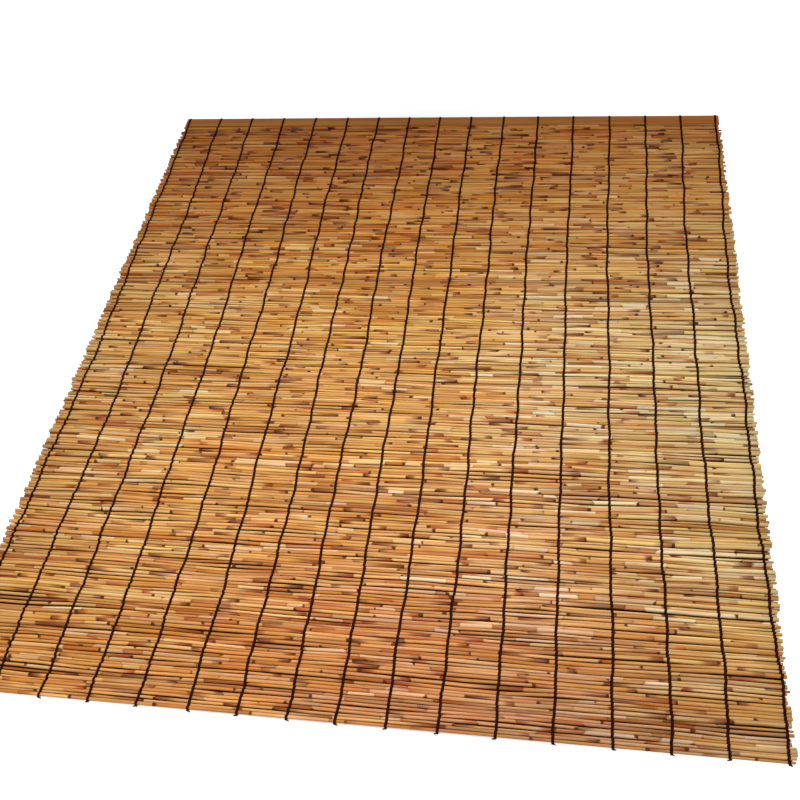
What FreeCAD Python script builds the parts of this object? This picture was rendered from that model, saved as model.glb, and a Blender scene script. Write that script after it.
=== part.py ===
import FreeCAD, Part
import math
import os
import random
from dataclasses import dataclass

# Reed screening mat, laid out flat.
#
# Whole reed stems lie side by side, butt beside tip, so that their tapers
# cancel and the rows stay straight. A plain wooden slat closes the far edge.
# Binding cords cross the mat at an even pitch. Each one runs over every stem
# and over the slat, turns down round the slat's far edge, runs back beneath
# them all, and is knotted in front of the nearest reed.
#
# All sizes are in millimetres. X runs along the reeds, Y along the cords
# towards the slat, and Z up. The origin is the middle of the footprint, on
# the floor. The mat lies on the lower runs of its cords.

# The whole mat
MAT_WIDTH = 1500.0            # along the longest reeds
MAT_LENGTH = 1750.0           # from the knots to the far side of the cords

# Reeds
REED_BUTT_DIAMETER = 7.2      # at the thick, lower end of a stem
REED_TIP_DIAMETER = 4.9       # at the thin, upper end
REED_SPREAD = 0.2             # how much thicker or thinner one stem may be, as a share
REED_END_SCATTER = 8.0        # how far short of the mat's edge a stem may stop
REED_CLEARANCE = 0.85         # least slit between two stems, where a cord's threads pass
REED_SIDES = 12               # flats round a stem
REED_SEED = 7                 # picks one natural-looking mix of stems
COURSE_COUNT = 10             # groups that the stems are kept in

# Slat along the far edge
SLAT_WIDTH = 36.0
SLAT_THICKNESS = 7.5
SLAT_SETBACK = 5.0            # from the mat's edge to each end of the slat
SLAT_EDGE_RADIUS = 1.5        # along its four long edges

# Binding cords
CORD_COUNT = 17
CORD_EDGE_MARGIN = 14.0       # from the mat's edge to the outermost cords
CORD_DRIFTS = (-2.2, 6.2, 2.9, -3.8)   # how far they stray from even spacing, in waves of
                                       # one, two, three and four half turns across the mat
CORD_WIDTH = 5.0
CORD_THICKNESS = 1.8
CORD_CORNER = 1.1             # cut off each outer corner where a cord turns
CORD_CLEARANCE = 0.15         # between a cord and what it binds
KNOT_SIZE = 6.0               # across the knot at a cord's near end
KNOT_WIDTH = 7.0              # along X
KNOT_SIDES = 8

# Places worked out from the sizes
LEFT, RIGHT = 0, 1
BED_HEIGHT = CORD_THICKNESS + CORD_CLEARANCE          # underside of reeds and slat
NEAR_INSIDE = -MAT_LENGTH / 2 + KNOT_SIZE             # inner face of the cords' near turn
FAR_INSIDE = MAT_LENGTH / 2 - CORD_THICKNESS          # inner face of their far turn
SLAT_FAR = FAR_INSIDE - CORD_CLEARANCE
SLAT_NEAR = SLAT_FAR - SLAT_WIDTH
REEDS_NEAR = NEAR_INSIDE + CORD_CLEARANCE


@dataclass
class ReedEnd:
    """One end of a stem: where it stops, how thick it is and its place across the mat."""
    x: float
    diameter: float
    y: float = 0.0


def draw_reed(number, chance):
    """A stem's left and right ends. Every second stem lies the other way round."""
    girth = chance.uniform(1 - REED_SPREAD, 1 + REED_SPREAD)
    diameters = [REED_BUTT_DIAMETER * girth, REED_TIP_DIAMETER * girth]
    if number % 2:
        diameters.reverse()
    reaches = [MAT_WIDTH / 2 - chance.uniform(0, REED_END_SCATTER) for side in (LEFT, RIGHT)]
    return [ReedEnd(-reaches[LEFT], diameters[LEFT]), ReedEnd(reaches[RIGHT], diameters[RIGHT])]


def choose_reeds(room):
    """Draw stems until the room between the cords' near turns and the slat is full."""
    chance = random.Random(REED_SEED)
    reeds = []
    filled = [0.0, 0.0]
    while True:
        reed = draw_reed(len(reeds), chance)
        with_reed = [filled[side] + reed[side].diameter for side in (LEFT, RIGHT)]
        gaps = (len(reeds) + 2) * REED_CLEARANCE
        if max(with_reed) + gaps > room:
            return reeds
        reeds.append(reed)
        filled = with_reed


def lay_reeds():
    """Lay the stems side by side.

    Along each edge of the mat the room that is left over is shared by the gaps,
    so the stems turn slightly as the row grows and the last lies along the slat.
    """
    room = SLAT_NEAR - REEDS_NEAR
    reeds = choose_reeds(room)
    for side in (LEFT, RIGHT):
        filled = sum(reed[side].diameter for reed in reeds)
        gap = (room - filled) / (len(reeds) + 1)
        y = REEDS_NEAR
        for reed in reeds:
            reed[side].y = y + gap + reed[side].diameter / 2
            y += gap + reed[side].diameter
    return reeds


def corner_ring(end):
    """Corners of the many-sided section at one end of a stem, with a flat underneath."""
    half_step = math.pi / REED_SIDES
    corner_radius = end.diameter / 2 / math.cos(half_step)
    z = BED_HEIGHT + end.diameter / 2
    angles = [half_step * (2 * i + 1) for i in range(REED_SIDES)]
    return [
        FreeCAD.Vector(end.x, end.y + corner_radius * math.cos(a), z + corner_radius * math.sin(a))
        for a in angles
    ]


def closed_face(corners):
    return Part.Face(Part.makePolygon(corners + corners[:1]))


def reed_stem(reed):
    """A straight stem that tapers from one end section to the other."""
    left = corner_ring(reed[LEFT])
    right = corner_ring(reed[RIGHT])
    faces = [closed_face(left), closed_face(right)]
    for i in range(REED_SIDES):
        j = (i + 1) % REED_SIDES
        faces.append(closed_face([left[i], left[j], right[j], right[i]]))
    stem = Part.makeSolid(Part.makeShell(faces))
    if stem.Volume < 0:
        stem.reverse()
    return stem


def reed_courses(reeds):
    """The stems in courses of like number, counted from the near edge, each a compound."""
    starts = [round(len(reeds) * i / COURSE_COUNT) for i in range(COURSE_COUNT + 1)]
    courses = []
    for first, following in zip(starts, starts[1:]):
        courses.append(Part.makeCompound([reed_stem(reed) for reed in reeds[first:following]]))
    return courses


def end_slat():
    """The flat lath at the far edge, with its long edges eased."""
    half_length = MAT_WIDTH / 2 - SLAT_SETBACK
    slat = Part.makeBox(
        2 * half_length, SLAT_WIDTH, SLAT_THICKNESS,
        FreeCAD.Vector(-half_length, SLAT_NEAR, BED_HEIGHT),
    )
    long_edges = [edge for edge in slat.Edges if edge.BoundBox.XLength > SLAT_WIDTH]
    return slat.makeFillet(SLAT_EDGE_RADIUS, long_edges)


def cord_places():
    """X of each cord. The spacing is even but for slow drifts to one side and back."""
    outermost = MAT_WIDTH / 2 - CORD_EDGE_MARGIN
    places = []
    for number in range(CORD_COUNT):
        share = number / (CORD_COUNT - 1)
        drift = sum(size * math.sin(math.pi * wave * share)
                    for wave, size in enumerate(CORD_DRIFTS, start=1))
        places.append(-outermost + 2 * outermost * share + drift)
    return places


def depth_at(x, reeds):
    """Thickness of the mat where a cord crosses it: that of its thickest piece there."""
    depths = [SLAT_THICKNESS]
    for left, right in reeds:
        share = (x - left.x) / (right.x - left.x)
        depths.append(left.diameter + (right.diameter - left.diameter) * share)
    return max(depths)


def cord_side(low_y, high_y, low_z, high_z, corner):
    """Side outline of a cord's turn round the mat, with its four corners cut off."""
    outline = [
        (low_y + corner, low_z), (high_y - corner, low_z),
        (high_y, low_z + corner), (high_y, high_z - corner),
        (high_y - corner, high_z), (low_y + corner, high_z),
        (low_y, high_z - corner), (low_y, low_z + corner),
    ]
    return closed_face([FreeCAD.Vector(0, y, z) for y, z in outline])


def knot(x, z):
    """The lump in front of the nearest reed where a cord's two runs are tied."""
    half_step = math.pi / KNOT_SIDES
    corner_radius = KNOT_SIZE / 2 / math.cos(half_step)
    y = NEAR_INSIDE - KNOT_SIZE / 2
    corners = []
    for i in range(KNOT_SIDES):
        a = half_step * (2 * i + 1)
        corners.append(FreeCAD.Vector(
            x - KNOT_WIDTH / 2, y + corner_radius * math.cos(a), z + corner_radius * math.sin(a)))
    return closed_face(corners).extrude(FreeCAD.Vector(KNOT_WIDTH, 0, 0))


def binding_cord(x, reeds):
    """One cord, from its knot over the mat, round the slat and back beneath."""
    inside_top = BED_HEIGHT + depth_at(x, reeds) + CORD_CLEARANCE
    outside_top = inside_top + CORD_THICKNESS
    turn = cord_side(
        NEAR_INSIDE - CORD_THICKNESS, FAR_INSIDE + CORD_THICKNESS, 0, outside_top, CORD_CORNER)
    turn.translate(FreeCAD.Vector(x - CORD_WIDTH / 2, 0, 0))
    band = turn.extrude(FreeCAD.Vector(CORD_WIDTH, 0, 0))
    inside = Part.makeBox(
        CORD_WIDTH, FAR_INSIDE - NEAR_INSIDE, inside_top - CORD_THICKNESS,
        FreeCAD.Vector(x - CORD_WIDTH / 2, NEAR_INSIDE, CORD_THICKNESS),
    )
    return band.cut(inside).fuse(knot(x, outside_top / 2))


def build_parts():
    """Every node of the mat, by name."""
    reeds = lay_reeds()
    parts = {}
    for number, course in enumerate(reed_courses(reeds), start=1):
        parts[f"reeds_{number:02d}"] = course
    parts["end_slat"] = end_slat()
    for number, x in enumerate(cord_places(), start=1):
        parts[f"binding_cord_{number:02d}"] = binding_cord(x, reeds)
    print(len(reeds), "reeds in", COURSE_COUNT, "courses, bound by", CORD_COUNT, "cords")
    return parts


os.makedirs("parts", exist_ok=True)
for name, shape in build_parts().items():
    shape.exportStep(f"parts/{name}.step")
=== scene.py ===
# %% [markdown]
# # Reed screening, unrolled on the floor
#
# A reed screen is made of whole reed stems laid side by side. Dark cords cross them at an even
# spacing. Each cord is two threads: one passes over a stem while the other passes under it, and
# between two stems they change places. A flat wooden slat closes the far edge.
#
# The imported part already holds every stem, cord and slat at its true size and place. This lesson
# reads those places and dresses each piece: stems get nodes, leaf sheaths and hollow ends, cords
# get their twined threads and knots, and the slat gets its grain.

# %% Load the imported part
import math
import random

import bmesh
import bpy
import numpy as np
from mathutils import Matrix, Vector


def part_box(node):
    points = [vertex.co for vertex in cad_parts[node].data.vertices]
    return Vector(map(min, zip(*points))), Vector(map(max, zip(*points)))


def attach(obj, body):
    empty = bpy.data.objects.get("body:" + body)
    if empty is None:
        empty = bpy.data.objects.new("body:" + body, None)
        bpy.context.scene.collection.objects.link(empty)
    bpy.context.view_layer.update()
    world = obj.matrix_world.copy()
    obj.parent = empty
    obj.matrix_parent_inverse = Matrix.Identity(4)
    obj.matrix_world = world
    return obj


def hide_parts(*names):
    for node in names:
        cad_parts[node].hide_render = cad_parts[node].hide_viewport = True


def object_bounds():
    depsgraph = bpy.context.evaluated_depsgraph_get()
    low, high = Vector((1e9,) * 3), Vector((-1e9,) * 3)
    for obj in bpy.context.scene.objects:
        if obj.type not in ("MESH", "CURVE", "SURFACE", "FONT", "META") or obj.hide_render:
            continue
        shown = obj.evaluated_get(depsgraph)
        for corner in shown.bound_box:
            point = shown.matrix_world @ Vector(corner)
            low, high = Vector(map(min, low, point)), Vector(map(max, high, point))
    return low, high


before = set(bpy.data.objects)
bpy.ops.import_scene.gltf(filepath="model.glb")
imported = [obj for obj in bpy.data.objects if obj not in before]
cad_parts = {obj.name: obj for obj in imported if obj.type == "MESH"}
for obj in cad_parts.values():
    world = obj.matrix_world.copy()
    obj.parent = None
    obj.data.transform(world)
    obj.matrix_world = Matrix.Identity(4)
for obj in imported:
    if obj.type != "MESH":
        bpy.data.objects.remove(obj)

MM = 0.001
scene = bpy.context.scene
cad_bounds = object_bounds()
course_nodes = sorted(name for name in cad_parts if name.startswith("reeds_"))
cord_nodes = sorted(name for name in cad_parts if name.startswith("binding_cord_"))
print("box of the packed part:", [tuple(corner) for corner in cad_bounds])
print(len(course_nodes), "courses of reeds and", len(cord_nodes), "cords")

# %% [markdown]
# ## The camera
#
# The photograph was taken from above the mat's near right-hand corner. A camera can be aimed with
# a look-at constraint, but then its roll is hard to set. Here it is placed by the angles
# themselves: where it heads, how far it tilts down and how far it rolls.

# %% Place the camera
PHOTO_SIZE = 800              # pixels along each side of the photograph
FOCAL_PIXELS = 994.7          # focal length, in pixels of the photograph
CAMERA_PLACE = (0.3495, -1.4917, 1.6439)     # metres from the middle of the mat
CAMERA_HEADING = 14.07        # degrees to the left of straight across the mat
CAMERA_TILT = 49.86           # degrees below the horizon
CAMERA_ROLL = -8.66           # degrees, the right side lower

camera_data = bpy.data.cameras.new("photo_camera")
camera_data.sensor_width = 36.0
camera_data.lens = FOCAL_PIXELS / PHOTO_SIZE * camera_data.sensor_width
camera = bpy.data.objects.new("photo_camera", camera_data)
scene.collection.objects.link(camera)
camera.matrix_world = (
    Matrix.Translation(CAMERA_PLACE)
    @ Matrix.Rotation(math.radians(CAMERA_HEADING), 4, "Z")
    @ Matrix.Rotation(math.radians(90 - CAMERA_TILT), 4, "X")
    @ Matrix.Rotation(math.radians(CAMERA_ROLL), 4, "Z")
)
scene.camera = camera
print("lens", round(camera_data.lens, 2), "mm")

# %% [markdown]
# ## Where the stems lie
#
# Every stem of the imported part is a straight, many-sided stick, and the sticks of one course share
# a mesh. Separating them by loose parts would make hundreds of objects that are of no use later.
# Walking along the edges from corner to corner finds the same groups without touching the part.

# %% Tell the sticks of a course apart
def loose_parts(mesh):
    """The corner points of each separate solid in a mesh, as one array for each solid."""
    shape = bmesh.new()
    shape.from_mesh(mesh)
    bmesh.ops.remove_doubles(shape, verts=shape.verts, dist=1e-6)
    unseen = set(shape.verts)
    parts = []
    while unseen:
        reached = [unseen.pop()]
        for vert in reached:
            for edge in vert.link_edges:
                other = edge.other_vert(vert)
                if other in unseen:
                    unseen.remove(other)
                    reached.append(other)
        parts.append(np.array([vert.co[:] for vert in reached]))
    shape.free()
    return parts


print("sticks in the first course:", len(loose_parts(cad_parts[course_nodes[0]].data)))

# %% [markdown]
# A stick's corners sit in two rings, one at each end. The middle of a ring is where the stem's
# axis ends, and the distance from there to a corner gives the stem's thickness.

# %% Read the stems
CAD_SIDES = 12
FLAT_SHARE = math.cos(math.pi / CAD_SIDES)   # from a corner's radius to a flat's


def ring_of(points):
    """Middle and radius of one end ring."""
    middle = points.mean(axis=0)
    radius = np.linalg.norm(points - middle, axis=1).max() * FLAT_SHARE
    return middle, radius


def read_stems(node):
    """The stems of one course, from the near edge: each is its left and right (middle, radius)."""
    stems = []
    for points in loose_parts(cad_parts[node].data):
        on_left = points[:, 0] < 0
        stems.append((ring_of(points[on_left]), ring_of(points[~on_left])))
    stems.sort(key=lambda ends: ends[0][0][1] + ends[1][0][1])
    return stems


courses = {node: read_stems(node) for node in course_nodes}
straight = [ends for node in course_nodes for ends in courses[node]]
print(len(straight), "stems read")

# %% [markdown]
# ## How a real row differs from straight sticks
#
# Reeds are never straight. Each one kinks a little at its nodes, and they crowd together here and
# part there, so most slits are hairlines and a few gape as long, dark wedges. To bend the whole
# row at once, its depths, heights and radii are kept as arrays, with a line for each stem and a
# column for each place along X.

# %% The straight row as arrays
GRID_PLACES = 46
GRID = np.linspace(cad_bounds[0][0], cad_bounds[1][0], GRID_PLACES)     # along X
row_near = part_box(course_nodes[0])[0][1]
row_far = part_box("end_slat")[0][1]
end_x, end_y, end_z = np.moveaxis(np.array([[end[0] for end in ends] for ends in straight]), 2, 0)
end_radius = np.array([[end[1] for end in ends] for ends in straight])


def along_grid(ends):
    """A value that changes evenly from a stem's left end to its right end, at the grid's places."""
    share = (GRID[None, :] - end_x[:, :1]) / (end_x[:, 1:] - end_x[:, :1])
    return ends[:, :1] + (ends[:, 1:] - ends[:, :1]) * share


line_y, stick_z, stick_radius = along_grid(end_y), along_grid(end_z), along_grid(end_radius)
print("arrays of", line_y.shape)

# %% [markdown]
# Plain noise would push stems into each other. So every stem first gets a wish for where it lies:
# its straight line, plus a swerve that it shares with its neighbours, plus kinks of its own, plus
# what the uneven slits before it add up to. The swerve is a sum of slow waves. Noise for the
# kinks is made from random numbers by taking the mean of neighbours a few times.

# %% Swerves and slow noise
SEED = 41
SLIMNESS = (0.96, 1.04)       # a stem's thickness as a share of its straight stick's
SMOOTHINGS = 5                # the more, the slower the noise changes along a stem
SWERVES = (                   # size, and length in x and in y
    (1.4 * MM, 1.10, 0.30),
    (0.9 * MM, 0.55, -0.17),
    (0.5 * MM, 0.30, 0.11),
)
CALM_EDGE = 0.08              # metres over which the swerves die out towards either edge

chance = random.Random(SEED)
noise_source = np.random.default_rng(SEED)
swerve_shifts = noise_source.uniform(0, math.tau, len(SWERVES))
row_radius = stick_radius * noise_source.uniform(*SLIMNESS, (len(straight), 1))


def swerve(x, y):
    """How far the row strays along Y at a place."""
    calm = np.clip(np.minimum(y - row_near, row_far - y) / CALM_EDGE, 0, 1)
    waves = [size * np.sin(math.tau * (x / across + y / along) + shift)
             for (size, across, along), shift in zip(SWERVES, swerve_shifts)]
    return calm * sum(waves)


def slow_noise(middle=0.0):
    """Random numbers for every stem and grid place, with a spread of 1, that change slowly along X."""
    values = noise_source.normal(0, 1, line_y.shape)
    for _ in range(SMOOTHINGS):
        padded = np.pad(values, ((0, 0), (1, 1)), mode="edge")
        values = (padded[:, :-2] + 2 * values + padded[:, 2:]) / 4
    return middle + values / values.std()


print("mean stem thickness", round(2 * row_radius.mean() / MM, 2), "mm")

# %% [markdown]
# Slits differ in width, and wide ones are rare. Powers of slow noise give such widths. Added up
# from the near edge, they would carry stems far from their places, so what each stem shares with
# those around it is taken off again.

# %% Crowding
UNEVENNESS = 1.2              # 0 for even slits; a wide slit is about e to this times a common one
GROUP = 11                    # stems over which wide and narrow slits even out


def crowding():
    """How far each stem moves aside when the slits before it are uneven."""
    slits = np.exp(UNEVENNESS * slow_noise())
    even = (row_far - row_near - 2 * row_radius.mean() * len(straight)) / len(straight)
    strays = even * np.cumsum(slits / slits.mean(axis=0) - 1, axis=0)
    padded = np.pad(strays, ((GROUP // 2, GROUP // 2), (0, 0)), mode="edge")
    around = sum(padded[i:i + len(strays)] for i in range(GROUP)) / GROUP
    return strays - around


print("wide and narrow slits even out over", GROUP, "stems")

# %% [markdown]
# Then the row settles. Neighbours that overlap, or lie too far apart, move each other by half of
# what is wrong, over and over, until every slit is within its limits. A physics simulation could
# do the same, but for so many long sticks it is slow and hard to repeat exactly.

# %% Settle the row
KINK = 0.6 * MM               # how far a stem wishes to stray from its line
SLITS = (0.05 * MM, 3.2 * MM)  # narrowest and widest slit that the row settles to
ROUNDS = 400
LIFT = 0.6 * MM               # upwards only, the cords are in the way below


def settle(y, radius):
    """Let neighbours that lie too near or too far move each other. The outermost two stay put."""
    touching = radius[:-1] + radius[1:]
    for _ in range(ROUNDS):
        slit = y[1:] - y[:-1] - touching
        move = (slit - np.clip(slit, *SLITS)) / 2
        y[:-1] += move
        y[1:] -= move
        y[0], y[-1] = row_near + radius[0], row_far - radius[-1] - SLITS[0]
    return y


wish = line_y + swerve(GRID[None, :], line_y) + KINK * slow_noise() + crowding()
row_y = settle(wish, row_radius)
row_z = stick_z - stick_radius + row_radius + LIFT * np.clip(slow_noise(0.3), 0, 1)
slits = (row_y[1:] - row_y[:-1] - row_radius[1:] - row_radius[:-1]) / MM
print("slits from", slits.min().round(2), "to", slits.max().round(2), "mm, mean", slits.mean().round(2))

# %% [markdown]
# Everything that touches the reeds asks a stem where it is: the stem's own surface, and the
# threads that wind round it. A small class keeps that answer in one place.

# %% A stem of the settled row
class Stem:
    """One reed of the row, by its number from the near edge."""

    def __init__(self, number, left, right):
        self.number = number
        self.start_x = left[0][0]
        self.length = right[0][0] - left[0][0]
        self.butt_left = left[1] > right[1]
        self.depth = (left[0][1] + right[0][1]) / 2

    def at(self, x):
        """Middle depth and height and the radius where the stem crosses X."""
        return tuple(np.interp(x, GRID, rows[self.number]) for rows in (row_y, row_z, row_radius))


all_stems = [Stem(number, *ends) for number, ends in enumerate(straight)]
print("the first stem is", round(all_stems[0].length, 3), "m long")

# %% [markdown]
# ## Tubes from rings
#
# Stems, threads, knots and cut ends are all tubes: rings joined by four-sided faces. Making
# them as separate objects would be slow, so each piece collects the points and faces of all its
# tubes in arrays and makes one mesh. A map is laid on at the same time: it runs along the tube
# and round it, and gives each tube a strip of its own, so that no two faces share a place on it.

# %% Faces and map of one tube
MAP_EDGE = 0.004              # share of the map left free at both ends of a tube
CAP_PLACE = 0.002             # how far into that share the end faces lie


def tube_faces(base, number, sides):
    """The faces of a tube: four-sided ones between its rings, and one at either end."""
    faces = []
    for i in range(number - 1):
        for j in range(sides):
            k = (j + 1) % sides
            faces.append((base + i * sides + j, base + i * sides + k,
                          base + (i + 1) * sides + k, base + (i + 1) * sides + j))
    last = base + (number - 1) * sides
    faces.append(tuple(base + j for j in reversed(range(sides))))
    faces.append(tuple(last + j for j in range(sides)))
    return faces


def tube_map(rings, low, high):
    """Where the corners of those faces lie on the map: along the tube, and round it in its strip."""
    number, sides = rings.shape[:2]
    path = np.linalg.norm(np.diff(rings.mean(axis=1), axis=0), axis=1)
    spread = np.abs(np.diff(np.ptp(rings, axis=1).max(axis=1))) / 2
    along = np.concatenate([[0.0], np.cumsum(path + spread)])
    along = MAP_EDGE + (1 - 2 * MAP_EDGE) * along / along[-1]
    around = low + (high - low) * np.arange(sides + 1) / sides
    corners = []
    for i in range(number - 1):
        for j in range(sides):
            corners += [(along[i], around[j]), (along[i], around[j + 1]),
                        (along[i + 1], around[j + 1]), (along[i + 1], around[j])]
    corners += [(along[0] - CAP_PLACE, around[j]) for j in reversed(range(sides))]
    corners += [(along[-1] + CAP_PLACE, around[j]) for j in range(sides)]
    return corners


print("a tube of 3 rings with 4 sides has", len(tube_faces(0, 3, 4)), "faces")

# %% [markdown]
# Besides its place, each point keeps a tint, which says its colour, and a note, which says where
# the finish reads its noise. Both are stored on the mesh, so one material serves a whole piece.

# %% Collect tubes and join them in one mesh
BAKE_MAP = "OFBake"


class Tubes:
    """Tubes that will be one mesh."""

    def __init__(self):
        self.points, self.tints, self.notes = [], [], []
        self.faces, self.corners = [], []
        self.count = 0

    def add(self, rings, tints, notes, strip):
        """rings is (ring, side, xyz), tints (ring, side, rgba), notes (ring, side, xyz)."""
        number, sides = rings.shape[:2]
        self.faces += tube_faces(self.count, number, sides)
        self.corners += tube_map(rings, *strip)
        self.points.append(rings.reshape(-1, 3))
        self.tints.append(tints.reshape(-1, 4))
        self.notes.append(notes.reshape(-1, 3))
        self.count += number * sides

    def mesh(self, name):
        """One smooth-shaded mesh with the tubes' colours, notes and map."""
        mesh = bpy.data.meshes.new(name)
        mesh.from_pydata(np.concatenate(self.points).tolist(), [], self.faces)
        colour = mesh.color_attributes.new("tint", "FLOAT_COLOR", "POINT")
        colour.data.foreach_set("color", np.concatenate(self.tints).astype(np.float32).ravel())
        note = mesh.attributes.new("note", "FLOAT_VECTOR", "POINT")
        note.data.foreach_set("vector", np.concatenate(self.notes).astype(np.float32).ravel())
        uv = mesh.uv_layers.new(name=BAKE_MAP)
        uv.data.foreach_set("uv", np.array(self.corners, np.float32).ravel())
        mesh.shade_smooth()
        return mesh


print("the map is named", BAKE_MAP)

# %% [markdown]
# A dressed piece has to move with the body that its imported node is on, and to stand in for that
# node. Three calls say so: what it rides on, what it replaces, and which material slot it has.

# %% Put a piece on the mat
def put(mesh, material, node):
    """Make a piece of the mesh that rides on the mat and stands for the named node."""
    piece = bpy.data.objects.new(mesh.name, mesh)
    scene.collection.objects.link(piece)
    mesh.materials.append(material)
    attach(piece, "root")
    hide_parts(node)


print("packed nodes to dress:", len(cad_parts))

# %% [markdown]
# ## Shader helpers
#
# Every finish here is a small node tree over one Principled shader. Building it by hand in the
# shader editor can't be repeated by a script, and writing out every node would bury the idea. So
# a few helpers add a node, join two sockets, and make the noise and the mixes that all share.

# %% Helpers for node trees
def new_material(name):
    material = bpy.data.materials.new(name)
    material.use_nodes = True
    return material, material.node_tree


def add_node(tree, kind, **settings):
    node = tree.nodes.new(kind)
    for setting, value in settings.items():
        setattr(node, setting, value)
    return node


def attribute(tree, name):
    """The node that reads a colour or vector stored on the mesh."""
    return add_node(tree, "ShaderNodeAttribute", attribute_name=name)


def noise(tree, place, stretch, detail):
    """Noise over a place that is first stretched along each axis."""
    mapping = add_node(tree, "ShaderNodeMapping")
    mapping.inputs["Scale"].default_value = stretch
    tree.links.new(place, mapping.inputs["Vector"])
    texture = add_node(tree, "ShaderNodeTexNoise")
    texture.inputs["Scale"].default_value = 1.0
    texture.inputs["Detail"].default_value = detail
    texture.inputs["Roughness"].default_value = 0.55
    tree.links.new(mapping.outputs["Vector"], texture.inputs["Vector"])
    return texture.outputs["Fac"]


def bump(tree, height, strength, distance):
    """Fine relief for a finish, without a single face more."""
    node = add_node(tree, "ShaderNodeBump")
    node.inputs["Strength"].default_value = strength
    node.inputs["Distance"].default_value = distance
    tree.links.new(height, node.inputs["Height"])
    return node.outputs["Normal"]


tryout, tree = new_material("tryout")
print("a new material starts with:", [node.name for node in tree.nodes])
bpy.data.materials.remove(tryout)

# %% [markdown]
# Noise is a number around a half. A remap turns it into a share of something, a grey turns it
# into a colour to multiply with, and a blend mixes two colours by it.

# %% Helpers for numbers and colours
def remap(tree, value, from_low, from_high, to_low, to_high):
    node = add_node(tree, "ShaderNodeMapRange")
    for socket, number in (("From Min", from_low), ("From Max", from_high),
                           ("To Min", to_low), ("To Max", to_high)):
        node.inputs[socket].default_value = number
    tree.links.new(value, node.inputs["Value"])
    return node.outputs["Result"]


def grey(tree, value):
    """A number as a grey colour."""
    node = add_node(tree, "ShaderNodeCombineColor")
    for socket in node.inputs:
        tree.links.new(value, socket)
    return node.outputs["Color"]


def calculate(tree, operation, first, second):
    node = add_node(tree, "ShaderNodeMath", operation=operation)
    tree.links.new(first, node.inputs[0])
    tree.links.new(second, node.inputs[1])
    return node.outputs["Value"]


def blend(tree, mode, share, first, second):
    """Mix two colours. Each of the three may be a socket or a plain value."""
    node = add_node(tree, "ShaderNodeMix", data_type="RGBA", blend_type=mode)
    for socket, value in ((node.inputs[0], share), (node.inputs[6], first), (node.inputs[7], second)):
        if isinstance(value, bpy.types.NodeSocket):
            tree.links.new(value, socket)
        else:
            socket.default_value = value
    return node.outputs[2]


def linear(red, green, blue):
    """A screen colour from 0 to 255 as the linear values that Blender's sockets hold."""
    return tuple(((c / 255 + 0.055) / 1.055) ** 2.4 if c > 10 else c / 255 / 12.92
                 for c in (red, green, blue))


WHITE = (1.0, 1.0, 1.0, 1.0)
print("half-bright on screen is", round(linear(128, 128, 128)[0], 3), "in a socket")

# %% [markdown]
# ## The colours of dry reed
#
# Dry reed is straw to ochre, and shines a little. Just above each node, where a leaf kept the
# stem damp, it is stained orange-brown, and the stain fades along the stem. Some stretches are
# still wrapped in an old leaf sheath, which is paler and duller. A palette of a few colours for
# each, mixed in pairs, keeps every stretch different and all of them reed.

# %% Colours of the stems
STRAW = [linear(234, 192, 118), linear(214, 160, 82), linear(204, 142, 64), linear(222, 170, 112),
         linear(198, 154, 92), linear(198, 124, 50)]
SHEATH = [linear(236, 206, 158), linear(226, 186, 130), linear(226, 182, 138), linear(206, 170, 118)]
STAIN = [linear(172, 86, 28), linear(148, 72, 24), linear(184, 104, 46), linear(118, 58, 22)]
NODE = linear(76, 32, 10)
PITH = linear(222, 190, 138)
# painted shade: deep inside a hollow end, its wall darkens to this
HOLLOW_SHADE = linear(52, 32, 18)
CREAM_AND_SHEEN = linear(168, 147, 136)           # of the pale streaks in the finish, partly paler fibre and partly painted sheen
PAINTED_TOP_LIGHT = np.array((1.08, 1.08, 1.10))      # painted light: the upper side of a stem is lighter
# painted shade: the sides and underside of a stem are darker and redder
PAINTED_UNDERSIDE_SHADE = np.array((0.94, 0.68, 0.40))
PALEST = np.array(linear(238, 214, 166))    # however bleached, no stem is paler than this
COMMON_STRAW = np.mean(STRAW, axis=0)


def shade_of(palette, low=0.88, high=1.10):
    """A random mix of two colours of a palette, a little lighter or darker."""
    first, second = chance.choice(palette), chance.choice(palette)
    share = chance.uniform(0, 0.5)
    return chance.uniform(low, high) * ((1 - share) * np.array(first) + share * np.array(second))


print("common straw, as socket values:", COMMON_STRAW.round(3))

# %% [markdown]
# ## What the weather does, and where sheen and light are painted
#
# This mat is paler towards its right edge, which is painted sheen, and stays deep brown at its far
# end, and neighbouring stems share paler and browner patches. Painting them by hand would tie the
# colours to one row of stems. Here the small patches are random heights on a coarse grid, with soft
# slopes between them, and the few large ones are listed by place and reach, like spots of a soft
# lamp. The lighter one at the middle of the far edge is painted light.

# %% Patches and large spots
DEEP = np.array((1.0, 0.69, 0.37))      # what turns a fresh colour into a deep brown one
PALE = np.array((1.0, 1.34, 1.85))      # and into a bleached one
SPOTS = [                     # middle in x and y, reach in x and y, and what it tints the reeds
    (0.10, -0.74, 0.26, 0.14, (0.94, 0.84, 1.08)),    # ruddy, at the middle of the near edge
    (0.48, -0.86, 0.20, 0.08, (0.76, 0.72, 0.84)),    # dull, at the near edge's right half
    (0.00, -0.415, 0.13, 0.02, (0.80, 0.74, 0.80)),   # a dark band of a few stems
    (0.29, -0.26, 0.10, 0.46, (1.02, 1.06, 1.32)),    # rosy and pale, right of the middle
    (-0.48, -0.37, 0.12, 0.13, (1.09, 1.18, 1.24)),   # pale, towards the left edge
    (-0.14, 0.22, 0.28, 0.22, (1.01, 0.99, 0.78)),    # golden, left of the middle
    (0.10, 0.78, 0.34, 0.30, (1.15, 1.14, 1.10)),     # painted light: lighter, at the middle of the far edge
]
SMALL_PATCH = (0.09, 0.022)   # metres in x and y
WIDE_PATCH = (0.35, 0.06)


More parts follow.
